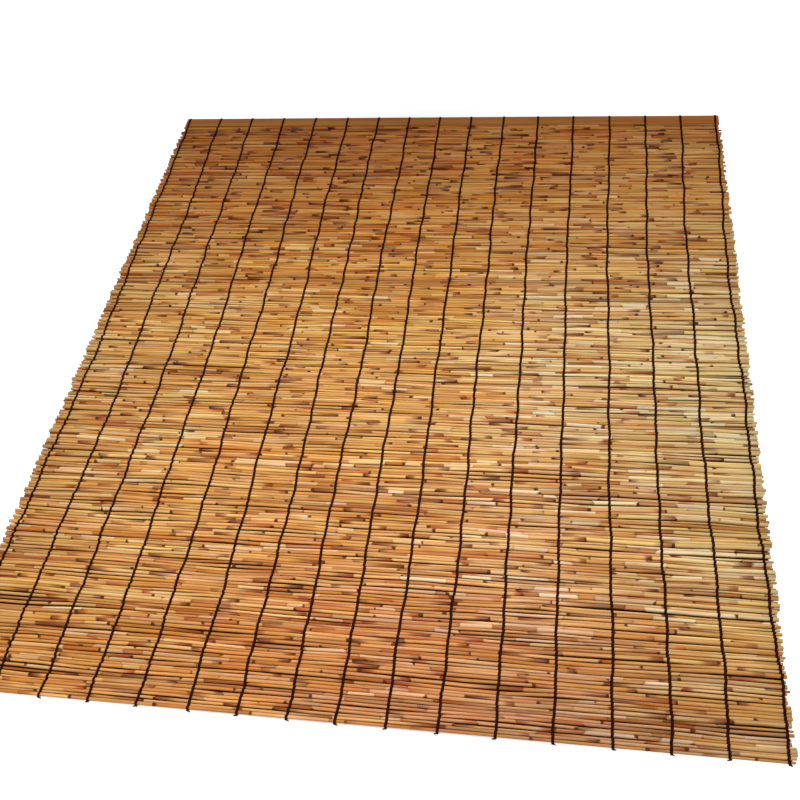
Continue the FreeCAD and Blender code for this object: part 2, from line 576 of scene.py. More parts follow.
def patchwork(cell_x, cell_y):
    """A random field with soft slopes over the whole mat, as a function of x and y."""
    size = cad_bounds[1] - cad_bounds[0]
    heights = noise_source.normal(0, 1, (int(size.x / cell_x) + 2, int(size.y / cell_y) + 2))

    def height_at(x, y):
        u, v = (x - cad_bounds[0][0]) / cell_x, (y - cad_bounds[0][1]) / cell_y
        i, j = (np.clip(np.floor(place), 0, count - 2).astype(int)
                for place, count in zip((u, v), heights.shape))
        u, v = (part * part * (3 - 2 * part) for part in (u - i, v - j))
        return ((1 - u) * ((1 - v) * heights[i, j] + v * heights[i, j + 1])
                + u * ((1 - v) * heights[i + 1, j] + v * heights[i + 1, j + 1]))
    return height_at


small_patches = patchwork(*SMALL_PATCH)
wide_patches = patchwork(*WIDE_PATCH)
print(len(SPOTS), "large spots; a small patch is", SMALL_PATCH[0] / MM, "by", SMALL_PATCH[1] / MM, "mm")

# %% [markdown]
# The weather turns a reed's fresh colour into a deep brown or a pale one, or something between,
# and towards the right edge a painted sheen pales it too. Adding and subtracting light could run out
# of colour. Multiplying by powers of two tints can't, and it keeps the differences between the stems.

# %% Weathering, painted sheen and painted light at a spot of the mat
MIDDLE_PALENESS = 0.60        # of the mat's middle, as bleaching_and_sheen() has it
PALENESS_LIMIT = 1.2
BROWNINGS = (0.48, 0.25)      # how much of that paleness the far and the near edge lack
BROWNING_START = -0.05        # the place along Y from which both grow
BROWNING_RUNS = (0.84, 0.80)  # metres over which they grow
BROWNING_POWERS = (1.3, 1.5)  # the higher, the later they grow
RIGHT_SHEEN = 0.32           # painted sheen, for each metre to the right
SIDE_SHEEN = 0.55            # painted sheen too, times the square of the distance to either side
SIDE_LOSSES = (0.5, 0.4)      # share of these two that the far and the near edge lack
PATCH_SHARES = (0.11, 0.07)   # what the small and the wide patches add
PATCH_LIGHT = 0.04            # and how much lighter they are


def bleaching_and_sheen(x, y):
    """How pale this spot of the mat is, from 0 for deep brown to 1 for fully pale: weathering, with a
    painted sheen towards the right edge.
    """
    far, near = (np.clip(distance / run, 0, 1) ** power for distance, run, power
                 in zip((y - BROWNING_START, BROWNING_START - y), BROWNING_RUNS, BROWNING_POWERS))
    middle = MIDDLE_PALENESS - BROWNINGS[0] * far - BROWNINGS[1] * near
    # painted sheen: the mat is paler towards its right edge
    side = (RIGHT_SHEEN * x + SIDE_SHEEN * x * x) * (1 - SIDE_LOSSES[0] * far - SIDE_LOSSES[1] * near)
    patches = PATCH_SHARES[0] * small_patches(x, y) + PATCH_SHARES[1] * wide_patches(x, y)
    return np.clip(middle + side + patches, 0, PALENESS_LIMIT)


def weathering_and_painted_light(x, y):
    """What a reed's fresh colour is multiplied by at a spot of the mat: weathering, painted sheen and, at
    the far edge's middle, painted light.
    """
    share = np.expand_dims(bleaching_and_sheen(x, y), -1)
    light = 1 + PATCH_LIGHT * np.expand_dims(small_patches(x, y) + wide_patches(x, y), -1)
    for middle_x, middle_y, reach_x, reach_y, tint in SPOTS:
        nearness = np.exp(-(((x - middle_x) / reach_x) ** 2 + ((y - middle_y) / reach_y) ** 2) / 2)
        light = light * np.array(tint) ** np.expand_dims(nearness, -1)
    return light * DEEP ** (1 - share) * PALE ** share


print("middle of the mat:", weathering_and_painted_light(np.array(0.0), np.array(0.0)).round(2))

# %% [markdown]
# ## One stem, ring by ring
#
# Each stem is drawn as a profile from butt to tip: a row of nodes with a stretch of stem between
# them. Rings are placed only where something changes, plus a few between, so that the stem can
# bend. Every ring is a row of five values: its place along the stem, its swell, its colour, how
# far it slants, and how strongly it is marked dark.

# %% A node and the plain stem
BEND_STEP = 0.065             # metres between rings on a plain stretch
SCAR = (1.0 * MM, 2.2 * MM)   # from a node's ridge to the scar on either side of it
SCAR_FADE = 1.4 * MM
MARKS = (0.55, 1.2)           # weakest and strongest dark mark of a node
SMEAR = 1.5 * MM              # how far the weakest mark is smeared along the stem above
SMEAR_GROWTH = 9 * MM         # how much further one is smeared that is stronger by 1
RIDGE = 1.14                  # radius of a node's ridge as a share of the bare stem's
RIDGE_SHADE = 0.8             # its colour as a share of the stem's below it
UPPER_MARK = 0.9              # the mark above a ridge as a share of the one below
RING_SHADES = (0.94, 1.05)    # how much darker and lighter single rings are


def fade_rings(rows, start, end, swell, first, last):
    """Rings along a plain stretch, with the colour turning from first to last."""
    count = int((end - start) / BEND_STEP)
    for i in range(1, count + 1):
        share = i / (count + 1)
        tint = ((1 - share) * first + share * last) * chance.uniform(*RING_SHADES)
        rows.append((start + (end - start) * share, swell, tint, 0.0, 0.0))


def node_rings(rows, place, below, above, above_swell):
    """A node's ridge, with a scar on either side of it. Returns where the rings end."""
    scar = chance.uniform(*SCAR)
    mark = chance.uniform(*MARKS)
    smear_end = place + scar + SMEAR + SMEAR_GROWTH * (mark - MARKS[0])
    rows += [
        (place - scar - SCAR_FADE, 1.0, below, 0.0, 0.0),
        (place - scar, 1.0, below, 0.0, mark),
        (place, RIDGE, RIDGE_SHADE * below, 0.0, mark),
        (place + scar, above_swell, above, 0.0, UPPER_MARK * mark),
        (smear_end, above_swell, above, 0.0, 0.0),
    ]
    return smear_end


longest_smear = SMEAR + SMEAR_GROWTH * (MARKS[1] - MARKS[0])
print("the darkest marks are smeared over", round(longest_smear / MM, 2), "mm")

# %% [markdown]
# Above a node comes one of two stretches. Most are bare: stained just above the node, then
# clearing to the stem's own tone. Some are wrapped in a leaf sheath, which makes the stem a
# little thicker and stops at a slanted edge. Three rings close together make that edge sharp.

# %% Stained and sheathed stretches
SHEATH_LIFT = 1.07            # radius of a sheath as a share of the bare stem's
SHEATH_EDGE = 0.8 * MM
SHEATH_SLANT = 4 * MM         # farthest that a sheath's edge leans either way
SHEATH_REACH = (0.2, 0.9)     # share of a stretch that a sheath covers
BARED_STAIN = (0.1, 0.8)      # how stained the stem is where it leaves the sheath
SHORTEST_STAIN = 0.012        # a stain clears over this many metres of stem,
LONGEST_STAIN = (0.02, 0.12)  # up to the first of these, and rarely up to both together
HALFWAY_STAIN = 0.75          # what is left of it halfway


def stained_stretch(rows, start, end, stain, tone):
    """Bare stem: stained above the node, then clearing to the stem's own tone."""
    longest = LONGEST_STAIN[0] + LONGEST_STAIN[1] * chance.random() ** 2
    clear = min(start + chance.uniform(SHORTEST_STAIN, longest), end - 10 * MM)
    halfway = HALFWAY_STAIN * stain + (1 - HALFWAY_STAIN) * tone
    rows.append(((start + clear) / 2, 1.0, halfway, 0.0, 0.0))
    rows.append((clear, 1.0, tone, 0.0, 0.0))
    fade_rings(rows, clear, end, 1.0, tone, tone * chance.uniform(0.9, 1.12))


def sheathed_stretch(rows, start, end, sheath, tone):
    """A pale sheath that stops at a slanted edge, then bare, stained stem."""
    reach = start + (end - start) * chance.uniform(*SHEATH_REACH)
    slant = chance.uniform(-SHEATH_SLANT, SHEATH_SLANT)
    strength = chance.uniform(*BARED_STAIN)
    stain = strength * shade_of(STAIN) + (1 - strength) * tone
    fade_rings(rows, start, reach - 3 * SHEATH_SLANT, SHEATH_LIFT, sheath, 0.95 * sheath)
    rows.append((reach - SHEATH_EDGE, SHEATH_LIFT, 0.92 * sheath, slant, 0.0))
    rows.append((reach, 1.0, 0.7 * stain, slant, 0.0))
    rows.append((reach + 1.5 * SHEATH_SLANT, 1.0, stain, 0.0, 0.0))
    fade_rings(rows, reach + 1.5 * SHEATH_SLANT, end, 1.0, stain, tone)


print("a sheath's edge leans by up to", SHEATH_SLANT / MM, "mm")

# %% [markdown]
# A whole stem strings these stretches together. Its butt may have its first node anywhere, and
# some stems are stained all along. What differs from stem to stem is always drawn from the same
# seeded source, so every run grows the same reeds.

# %% A whole stem
NODE_GAPS = (0.08, 0.21)      # shortest and longest stretch between nodes, in metres
FIRST_NODE = 0.03             # no node is nearer than this to the stem's butt,
END_ROOM = 0.02               # or nearer than this to its tip
NODE_ROOM = (8 * MM, 12 * MM)  # what a plain and a dressed stretch leave free before a node
SHORTEST_STRETCH = 0.06       # of the dressed ones
STAIN_STRENGTH = (0.2, 1.4)   # anything over 1 is a full stain
SHEATH_CHANCE = 0.18
DARK_CHANCE = 0.08            # a stem that is stained all along
DARK_STAIN_CHANCE = 0.45      # a node whose stain is much darker
DARK_STAIN = 0.5              # its brightness as a share of a common stain's
OWN_TONE = 0.55               # how much of its tone a stretch doesn't share with its stem


def tone_of(base):
    """The tone of one stretch: partly that of the whole stem, partly its own."""
    return (1 - OWN_TONE) * base + OWN_TONE * shade_of(STRAW, 0.76, 1.12)


def stem_rows(length):
    """(place, swell, tint, slant, mark) of every ring from butt to tip."""
    base = shade_of(STAIN if chance.random() < DARK_CHANCE else STRAW)
    tone = tone_of(base)
    rows = [(0.0, 1.0, tone, 0.0, 0.0)]
    start = 0.0
    node = chance.uniform(FIRST_NODE, NODE_GAPS[1])
    while node < length - END_ROOM:
        fade_rings(rows, start, node - NODE_ROOM[0], 1.0, rows[-1][2], tone)
        sheathed = chance.random() < SHEATH_CHANCE
        tone = tone_of(base)
        strength = min(1.0, chance.uniform(*STAIN_STRENGTH))
        stain = shade_of(STAIN) * (DARK_STAIN if chance.random() < DARK_STAIN_CHANCE else 1.0)
        above = shade_of(SHEATH) if sheathed else strength * stain + (1 - strength) * tone
        following = node + chance.uniform(*NODE_GAPS)
        start = node_rings(rows, node, rows[-1][2], above, SHEATH_LIFT if sheathed else 1.0)
        end = min(following, length) - NODE_ROOM[1]
        if end - start > SHORTEST_STRETCH:
            stretch = sheathed_stretch if sheathed else stained_stretch
            stretch(rows, start, end, above, tone)
            start = end
        node = following
    rows.append((length, 1.0, rows[-1][2], 0.0, 0.0))
    return rows


print("a stem has about", round(all_stems[0].length / np.mean(NODE_GAPS)), "nodes")

# %% [markdown]
# ## From the profile to a tube
#
# The profile is turned into rings round the bent axis. The first and last rings fold inwards and
# back along the stem, which makes the hollow ends that show at the mat's sides; inside, their walls
# darken into painted shade. Towards the far end of the mat dark stretches are darker, and pale ones
# duller. Powers of the tone do that for both, with no new colours to pick.

# %% Hollow ends and the far end's tones
WALL = 0.76                   # inner radius as a share of the outer
MOUTH_DEPTH = 6 * MM          # how deep the hollow ends go
MOUTH_BOTTOM = 0.02           # radius of the small face that closes them, as such a share too
FAR_DARKENING = 0.7           # at the far end dark stretches are darker by this power
FAR_DULLING = 0.45            # and pale ones less pale by this one


def with_mouths(rows, length):
    """A profile from left to right with the folds of both hollow ends, whose walls darken inside to painted
    shade.
    """
    mouth = [(MOUTH_DEPTH, MOUTH_BOTTOM, HOLLOW_SHADE, 0, 0), (MOUTH_DEPTH, WALL, HOLLOW_SHADE, 0, 0),
             (0.0, WALL, PITH, 0, 0)]
    return mouth + rows + [(length - s, *rest) for s, *rest in reversed(mouth)]


def far_end_tone(tone, y):
    """How a tone, as a share of common straw, has changed where the stem lies."""
    far = np.clip(y / row_far, 0, 1)[:, :, None]
    return np.minimum(tone, 1) ** (1 + FAR_DARKENING * far) * np.maximum(tone, 1) ** (1 - FAR_DULLING * far)


print("a hollow end's wall is about", round((1 - WALL) * row_radius.mean() / MM, 2), "mm thick")

# %% [markdown]
# A stem whose butt lies on the right is drawn backwards, so that its faces still look outwards.
# The bud on one side of each node makes a dark mark there, and it changes sides along the stem.
# Each ring's colour is its tone, changed towards the far end, with painted light on its top and painted
# shade on its sides and underside, and weathered by where it lies on the mat, with painted sheen and light
# in places.

# %% Rings of a stem
STEM_SIDES = 12
MARK_AROUND = 0.48            # share of a node's mark that goes all round, and
MARK_ASIDE = 0.52             # share that is only on the bud's side
NOISE_STEP = 7.3              # how far apart two neighbours read the finish's noise


def stem_tube(stem):
    """Rings, tints and notes of one stem, from left to right."""
    rows = stem_rows(stem.length)
    if not stem.butt_left:
        rows = [(stem.length - s, swell, tint, -slant, mark)
                for s, swell, tint, slant, mark in reversed(rows)]
    rows = with_mouths(rows, stem.length)
    s, swell, slant, mark = (np.array([row[i] for row in rows], float)[:, None] for i in (0, 1, 3, 4))
    angle = math.tau * (np.arange(STEM_SIDES) / STEM_SIDES - 0.25)[None, :]
    turned = chance.uniform(0, math.tau)
    x = stem.start_x + s + slant * np.cos(angle - turned)
    y, z, radius = stem.at(x)
    reach = radius * swell
    rings = np.stack([x, y + reach * np.cos(angle), z + reach * np.sin(angle)], axis=2)
    side = np.where(np.floor(s / NODE_GAPS[0]) % 2 == 0, 1.0, -1.0)
    # painted light and shade: lighter on top, darker and redder on the sides and underside
    painted_top_light_and_shade = PAINTED_UNDERSIDE_SHADE + (PAINTED_TOP_LIGHT - PAINTED_UNDERSIDE_SHADE) * (0.5 + 0.5 * np.sin(angle))[:, :, None]
    tone = np.array([row[2] for row in rows])[:, None, :] / COMMON_STRAW
    tints = np.empty((*x.shape, 4))
    tints[:, :, :3] = np.minimum(COMMON_STRAW * far_end_tone(tone, y) * painted_top_light_and_shade * weathering_and_painted_light(x, y), PALEST)
    tints[:, :, 3] = mark * (MARK_AROUND + MARK_ASIDE * side * np.cos(angle - turned))
    notes = np.stack([x + NOISE_STEP * stem.number, reach * np.cos(angle), reach * np.sin(angle)], axis=2)
    return rings, tints, notes


def course_mesh(name, stems):
    tubes = Tubes()
    for i, stem in enumerate(stems):
        strip = ((i + 0.03) / len(stems), (i + 0.97) / len(stems))
        tubes.add(*stem_tube(stem), strip)
    return tubes.mesh(name)


print("a stem is drawn with", STEM_SIDES, "sides")

# %% [markdown]
# ## The finish of the stems
#
# The colours drawn above say what each stretch is. The shader adds what is finer than a ring:
# fibres and pale streaks that run along the stem, soft blotches and small dark flecks. The pale
# streaks are partly paler fibre and partly painted sheen. All four are noise that is squeezed across
# the stem and stretched along it, read from each stem's own coordinates, so the pattern never runs
# on from one stem to the next. The mark of a node is a soft ramp from ring to ring; adding noise to
# it and cutting it off makes a ragged dark scar.
#
# The three numbers that each noise takes are how often it repeats in a metre along the stem and
# in both directions across it. A remap names the noise's low and high, then what they become.

# %% Material of the stems
def reed_material():
    material, tree = new_material("dry_reed")
    shader = tree.nodes["Principled BSDF"]
    drawn = attribute(tree, "tint")
    tint, mark = drawn.outputs["Color"], drawn.outputs["Alpha"]
    place = attribute(tree, "note").outputs["Vector"]
    fibre = noise(tree, place, (14, 1100, 1100), 4.0)
    blotch = noise(tree, place, (16, 160, 160), 2.0)
    pale_streak_and_sheen = noise(tree, place, (11, 420, 420), 1.0)
    fleck = noise(tree, place, (180, 700, 700), 2.0)
    shade = grey(tree, remap(tree, fibre, 0.3, 0.7, 0.72, 1.12))
    colour = blend(tree, "MULTIPLY", 1.0, tint, shade)
    colour = blend(tree, "MIX", remap(tree, blotch, 0.50, 0.78, 0.0, 0.5), colour, (*STAIN[0], 1.0))
    # pale streaks: partly paler fibre, partly painted sheen
    colour = blend(tree, "SCREEN", remap(tree, pale_streak_and_sheen, 0.52, 0.72, 0.0, 0.5), colour, (*CREAM_AND_SHEEN, 1.0))
    colour = blend(tree, "MIX", remap(tree, fleck, 0.66, 0.78, 0.0, 0.6), colour, (*NODE, 1.0))
    rough_mark = calculate(tree, "ADD", mark, remap(tree, fleck, 0.3, 0.7, -0.25, 0.25))
    colour = blend(tree, "MIX", remap(tree, rough_mark, 0.30, 0.60, 0.0, 0.95), colour, (*NODE, 1.0))
    tree.links.new(colour, shader.inputs["Base Color"])
    shader.inputs["Specular IOR Level"].default_value = 0.12
    tree.links.new(remap(tree, fibre, 0.3, 0.7, 0.55, 0.75), shader.inputs["Roughness"])
    tree.links.new(bump(tree, fibre, 0.35, 0.2 * MM), shader.inputs["Normal"])
    return material


dry_reed = reed_material()
print(dry_reed.name, "has", len(dry_reed.node_tree.nodes), "nodes")

# %% [markdown]
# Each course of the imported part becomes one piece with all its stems. The stems are drawn in
# their order from the near edge, so a course takes the next ones of the row.

# %% Make the courses
first = 0
for node in course_nodes:
    stems = all_stems[first:first + len(courses[node])]
    first += len(stems)
    mesh = course_mesh(f"stems_{node[-2:]}", stems)
    put(mesh, dry_reed, node)
    print(node, len(mesh.polygons), "faces")

# %% [markdown]
# ## How a cord strays
#
# A cord wanders a little sideways, because nobody pulls every turn equally tight, and between the
# mat's ends the outer cords have drawn in towards the middle. Each cord gets a few slow waves of
# its own on top of what all cords share. That shared part comes to nothing at the mat's near and
# far edge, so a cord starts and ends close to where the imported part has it.

# %% A cord's way across the mat
WANDERS = ((1.6 * MM, 0.70), (1.2 * MM, 0.21), (0.9 * MM, 0.085))   # size, wave length in metres
DRAW_IN = 12.0 * MM           # how far the outermost cords lean in, halfway along the mat
BOW = 3.0 * MM                # how far all cords bow to the right together
SWAY = 1.5 * MM               # and how far they sway together, once each way
WANDER_SHARES = (0.6, 1.3)    # how much of a wave's size a cord has


def new_wander():
    """A smooth random way of straying sideways, as a function of x and y."""
    shifts = [(size * chance.uniform(*WANDER_SHARES), length, chance.uniform(0, math.tau))
              for size, length in WANDERS]

    def stray(x, y):
        share = (y - row_near) / (row_far - row_near)
        lean = (BOW - DRAW_IN * x / GRID[-1]) * math.sin(math.pi * share)
        lean += SWAY * math.sin(math.tau * share)
        return lean + sum(size * math.sin(math.tau * y / length + shift)
                          for size, length, shift in shifts)
    return stray


print("cords lean in by up to", round(DRAW_IN / MM), "mm")

# %% [markdown]
# ## How a cord is twined
#
# Follow one thread: over the first stem, down between the stems, under the second, and up again.
# Its partner does the opposite. They always pass each other on the same side, so every stretch
# that shows on top leans the same way, and the cord looks beaded. A curve object could follow
# this path, but it can't be wide over a stem and narrow between two, as a real thread is.

# %% Path of a thread round the stems
THREAD_WIDE = 5.4 * MM        # where it is pressed flat over a stem
THREAD_NARROW = 2.8 * MM      # where it slips between two stems
THREAD_THICK = 1.5 * MM
PASSING = 1.0 * MM            # sideways room that the two threads give each other
WRAP_LEAN = 0.6 * PASSING     # how far a thread leans on its way over a stem
SHOULDER = 0.9                # its width beside the top as a share of the width on top
WRAP_ANGLES = (145, 90, 35)   # degrees round a stem, from its near side
UNEVEN = 0.25 * MM            # how far a single turn strays


def wrap(stem, x, side):
    """Points of a thread round one stem. side is +1 over it and -1 under it."""
    y, z, radius = stem.at(x)
    reach = radius + THREAD_THICK / 2
    points = []
    for i, degrees in enumerate(WRAP_ANGLES):
        angle = math.radians(degrees)
        lean = WRAP_LEAN * (1 - i) * -side
        wide = THREAD_WIDE if i == 1 else SHOULDER * THREAD_WIDE
        points.append((x + lean, y + reach * math.cos(angle), z + side * reach * math.sin(angle), wide))
    return points


def between(x, side, stem, following):
    """The point where a thread slips between two stems."""
    y, z, radius = stem.at(x)
    next_y, next_z, next_radius = following.at(x)
    return x + side * PASSING, (y + radius + next_y - next_radius) / 2, (z + next_z) / 2, THREAD_NARROW


print("over the first stem a thread lies", round(wrap(all_stems[0], 0.0, 1)[1][2] / MM, 1), "mm high")

# %% [markdown]
# At the near edge both threads come out of the knot. At the far edge one lies over the slat and
# the other under it, and they meet again behind it. How both turn round the slat's edges is
# written as a short list of points, because there each point has a place of its own.

# %% From the knot to behind the slat
slat_low, slat_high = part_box("end_slat")


def slat_path(x_at, side):
    """Points of a thread across the slat and down or up its far edge."""
    near, far = slat_low[1], slat_high[1]
    middle = (slat_low[2] + slat_high[2]) / 2
    face = slat_high[2] if side > 0 else slat_low[2]
    level = face + side * THREAD_THICK / 2
    over = THREAD_THICK / 2
    x = x_at(near)
    end_x = x_at(far)
    return [
        (x, near - 0.1 * MM, middle, THREAD_NARROW),
        (x, near + 0.8 * MM, level - side * 0.5 * MM, THREAD_WIDE),
        (x, near + 3 * MM, level, THREAD_WIDE),
        ((x + end_x) / 2, (near + far) / 2, level, THREAD_WIDE),
        (end_x, far - 3 * MM, level, THREAD_WIDE),
        (end_x, far - 0.4 * MM, level - side * 0.3 * MM, THREAD_WIDE),
        (end_x, far + over, level - side * 2.2 * MM, THREAD_NARROW),
        (end_x, far + over, middle, THREAD_NARROW),
    ]


def thread_path(x_at, knot, side):
    """(x, y, z, width) along one thread, from its knot to behind the slat."""
    y, z, radius = all_stems[0].at(knot[0])
    points = [(*knot, THREAD_NARROW), (knot[0], y - radius - THREAD_THICK / 2, z, 0.8 * THREAD_WIDE)]
    for stem, following in zip(all_stems, [*all_stems[1:], None]):
        x = x_at(stem.depth) + chance.gauss(0, UNEVEN)
        points += wrap(stem, x, side)
        if following:
            points.append(between(x, side, stem, following))
        side = -side
    return points + slat_path(x_at, side)


print("round the slat a thread has", len(slat_path(lambda y: 0.0, 1)), "points")

# %% [markdown]
# ## Knots and cut ends
#
# A cord starts in a small overhand knot in front of the nearest stem, with two cut ends beside
# it. The curve of an overhand knot has a simple formula, a ring that winds twice while it moves
# to and fro three times. Real knots are pulled tight, so it is kept small and thick.

# %% Paths of a knot and of a cut end
KNOT_STEPS = 44
KNOT_SIZE = 1.25 * MM
KNOT_DEPTH = 0.62 * MM        # how far it moves to and fro
KNOT_THREAD = 1.8 * MM        # width of the thread in it
KNOT_TURN = 0.97              # of the whole curve, so that its ends don't meet


def knot_path(x, y, z):
    """A small overhand knot. Seen from the front, its thread crosses itself three times."""
    points = []
    for i in range(KNOT_STEPS + 1):
        t = math.tau * i / KNOT_STEPS * KNOT_TURN
        ring = KNOT_SIZE * (1.15 + 0.55 * math.cos(3 * t))
        points.append((x + ring * math.cos(2 * t), y + KNOT_DEPTH * math.sin(3 * t),
                       z + ring * math.sin(2 * t), KNOT_THREAD))
    return points


def tail_path(x, y, z, lean):
    """A short cut end that leaves the knot sideways and droops along the nearest stem."""
    return [
        (x, y, z, 2.2 * MM),
        (x + 0.35 * lean, y - 0.8 * MM, z + 0.6 * MM, 2.4 * MM),
        (x + 0.70 * lean, y - 1.0 * MM, z - 0.4 * MM, 2.4 * MM),
        (x + 1.00 * lean, y - 0.7 * MM, z - 2.2 * MM, 2.0 * MM),
    ]


knot_width = np.ptp([point[0] for point in knot_path(0, 0, 0)]) + KNOT_THREAD
print("a knot is", round(knot_width / MM, 1), "mm wide")

# %% [markdown]
# ## From a path to a thread
#
# A thread is a flat tube: wide along the stem, thin away from it. At each point of the path the
# ring stands square to the path. A path mostly runs along Y and up and down, so the ring's width
# can lie along X, less what X has along the path, and its thickness square to both.

# %% Rings of a thread
THREAD_SIDES = 6


def thread_tube(path, thick):
    """Rings and notes for a path of (x, y, z, width)."""
    path = np.array(path)
    centre, width = path[:, :3], path[:, 3]
    step = np.gradient(centre, axis=0)
    step /= np.linalg.norm(step, axis=1)[:, None]
    across = np.tile([1.0, 0.0, 0.0], (len(path), 1))
    across -= step * (across * step).sum(axis=1)[:, None]
    across /= np.linalg.norm(across, axis=1)[:, None]
    out = np.cross(across, step)
    angle = math.tau * np.arange(THREAD_SIDES) / THREAD_SIDES
    rings = (
        centre[:, None, :]
        + across[:, None, :] * (np.cos(angle)[None, :] * width[:, None] / 2)[:, :, None]
        + out[:, None, :] * (np.sin(angle)[None, :] * thick / 2)[:, :, None]
    )
    run = np.concatenate([[0.0], np.cumsum(np.linalg.norm(np.diff(centre, axis=0), axis=1))])
    notes = np.stack([
        np.repeat(run[:, None], THREAD_SIDES, axis=1),
        np.tile(np.cos(angle), (len(path), 1)),
        np.tile(np.sin(angle), (len(path), 1)),
    ], axis=2)
    return rings, notes


print("rings of a knot:", len(thread_tube(knot_path(0, 0, 0), KNOT_THREAD)[0]))

# %% [markdown]
# ## A whole cord
#
# Two threads, two knots and two cut ends make one piece. It stands for the plain band of the
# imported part. Near its far end the cord strays less and less, so that it goes round the slat just
# where the band does.

# %% A cord as one mesh
YARN = (*linear(49, 20, 8), 1.0)
KNOT_REACH = 2.6 * MM         # from the nearest stem's side to the middle of a knot
KNOT_THICK = 1.6 * MM         # thickness of the thread in knots and cut ends
TAIL_HEIGHTS = (-0.8 * MM, 1.0 * MM)  # of the two cut ends above the knot's middle
TAIL_REACH = (3.5 * MM, 6.0 * MM)
CALM_FAR_END = 0.10           # metres over which a cord stops straying


def twined_cord(node):
    """Both threads of one cord, its knots and its cut ends, as one mesh."""
    low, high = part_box(node)
    middle = (low[0] + high[0]) / 2
    stray = new_wander()

    def x_at(y):
        edge = max(0.0, min(1.0, (high[1] - y) / CALM_FAR_END))
        return middle + stray(middle, y) * edge

    knot = (x_at(row_near), row_near - KNOT_REACH, high[2] / 2)
    far_knot = (x_at(high[1]), high[1] - 0.2 * MM, high[2] / 2)
    paths = [(thread_path(x_at, knot, side), THREAD_THICK) for side in (1, -1)]
    paths += [(knot_path(*knot), KNOT_THICK), (knot_path(*far_knot), KNOT_THICK)]
    hook = chance.choice((-1, 1))
    for height in TAIL_HEIGHTS:
        lean = hook * chance.uniform(*TAIL_REACH)
        paths.append((tail_path(knot[0], knot[1], knot[2] + height, lean), KNOT_THICK))
    tubes = Tubes()
    for i, (path, thick) in enumerate(paths):
        rings, notes = thread_tube(path, thick)
        tint = np.tile(YARN, (*rings.shape[:2], 1))
        tubes.add(rings, tint, notes, ((i + 0.05) / len(paths), (i + 0.95) / len(paths)))
    return tubes.mesh(f"twined_{node[-7:]}")


print("yarn, as socket values:", np.round(YARN, 3))

# %% [markdown]
# The yarn is nearly black and dull. Along each thread, narrow bands of noise make its plies, both
# as lighter and darker brown and as relief. It has almost no shine of its own, because a shine
# would mirror the white room and turn the cords grey.

# %% Yarn, and the cords made of it
def yarn_material():
    material, tree = new_material("dark_yarn")
    shader = tree.nodes["Principled BSDF"]
    tint = attribute(tree, "tint").outputs["Color"]
    fuzz = noise(tree, attribute(tree, "note").outputs["Vector"], (900, 3, 3), 3.0)
    plies = grey(tree, remap(tree, fuzz, 0.3, 0.7, 0.55, 1.45))
    tree.links.new(blend(tree, "MULTIPLY", 1.0, tint, plies), shader.inputs["Base Color"])
    shader.inputs["Roughness"].default_value = 0.85
    shader.inputs["Specular IOR Level"].default_value = 0.03
    tree.links.new(bump(tree, fuzz, 0.6, 0.3 * MM), shader.inputs["Normal"])
    return material


dark_yarn = yarn_material()
for node in cord_nodes:
    mesh = twined_cord(node)
    put(mesh, dark_yarn, node)
print("faces of one cord", len(mesh.polygons))

# %% [markdown]
# ## The slat
#
# The slat is a planed lath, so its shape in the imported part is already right. It only needs wood:
# long grain lines, slow bands of darker wood and a little unevenness in its shine. So the packed
# node itself stays, and gets a material.

# %% Material of the slat
LIGHT_WOOD = (*linear(206, 134, 60), 1.0)
DARK_WOOD = (*linear(180, 104, 42), 1.0)


def lath_material():
    material, tree = new_material("planed_lath")
    shader = tree.nodes["Principled BSDF"]
    place = add_node(tree, "ShaderNodeTexCoord").outputs["Object"]
    grain = noise(tree, place, (9, 520, 520), 5.0)
    band = noise(tree, place, (2.2, 60, 60), 2.0)
    wood = blend(tree, "MIX", remap(tree, band, 0.35, 0.65, 0.0, 1.0), LIGHT_WOOD, DARK_WOOD)
    lines = grey(tree, remap(tree, grain, 0.3, 0.7, 0.78, 1.08))
    tree.links.new(blend(tree, "MULTIPLY", 1.0, wood, lines), shader.inputs["Base Color"])
    shader.inputs["Specular IOR Level"].default_value = 0.12
    tree.links.new(remap(tree, grain, 0.3, 0.7, 0.5, 0.68), shader.inputs["Roughness"])
    tree.links.new(bump(tree, grain, 0.3, 0.2 * MM), shader.inputs["Normal"])
    return material


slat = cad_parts["end_slat"]
slat.data.materials.clear()
slat.data.materials.append(lath_material())
print("the slat wears", slat.data.materials[0].name)

# %% [markdown]
# ## The floor
#
# The mat lies on a plain white floor. Where only light fell on it, the floor would look grey far
# from the lamps, so it also glows for the camera and for reflections, but not for the light that
# falls on the mat. The glow grows with the distance from the mat, because a strong glow beside it
# would drown its soft shadow. Under the mat the floor doesn't glow, or the slits would shine, and
# it is dark brown: painted shade that keeps the slits between the stems dark.

# %% Materials of the floor
FLOOR_WHITE = (0.85, 0.85, 0.85, 1.0)
FLOOR_GLOW = (0.47, 0.95)     # beside the mat and far from it
GLOW_REACH = (0.8, 1.15)      # metres from the middle where it starts to grow and stops


def seen_directly(tree):
    """1 where the camera looks, also in a reflection or through glass, and 0 for other light."""
    rays = add_node(tree, "ShaderNodeLightPath").outputs
    total = calculate(tree, "ADD", rays["Is Camera Ray"], rays["Is Glossy Ray"])
    return calculate(tree, "ADD", total, rays["Is Transmission Ray"])


def floor_material(name, colour):
    """A dull floor of one colour, with its shader and its node tree."""
    material, tree = new_material(name)
    shader = tree.nodes["Principled BSDF"]
    shader.inputs["Base Color"].default_value = colour
    shader.inputs["Roughness"].default_value = 0.9
    shader.inputs["Specular IOR Level"].default_value = 0.0
    return material, shader, tree


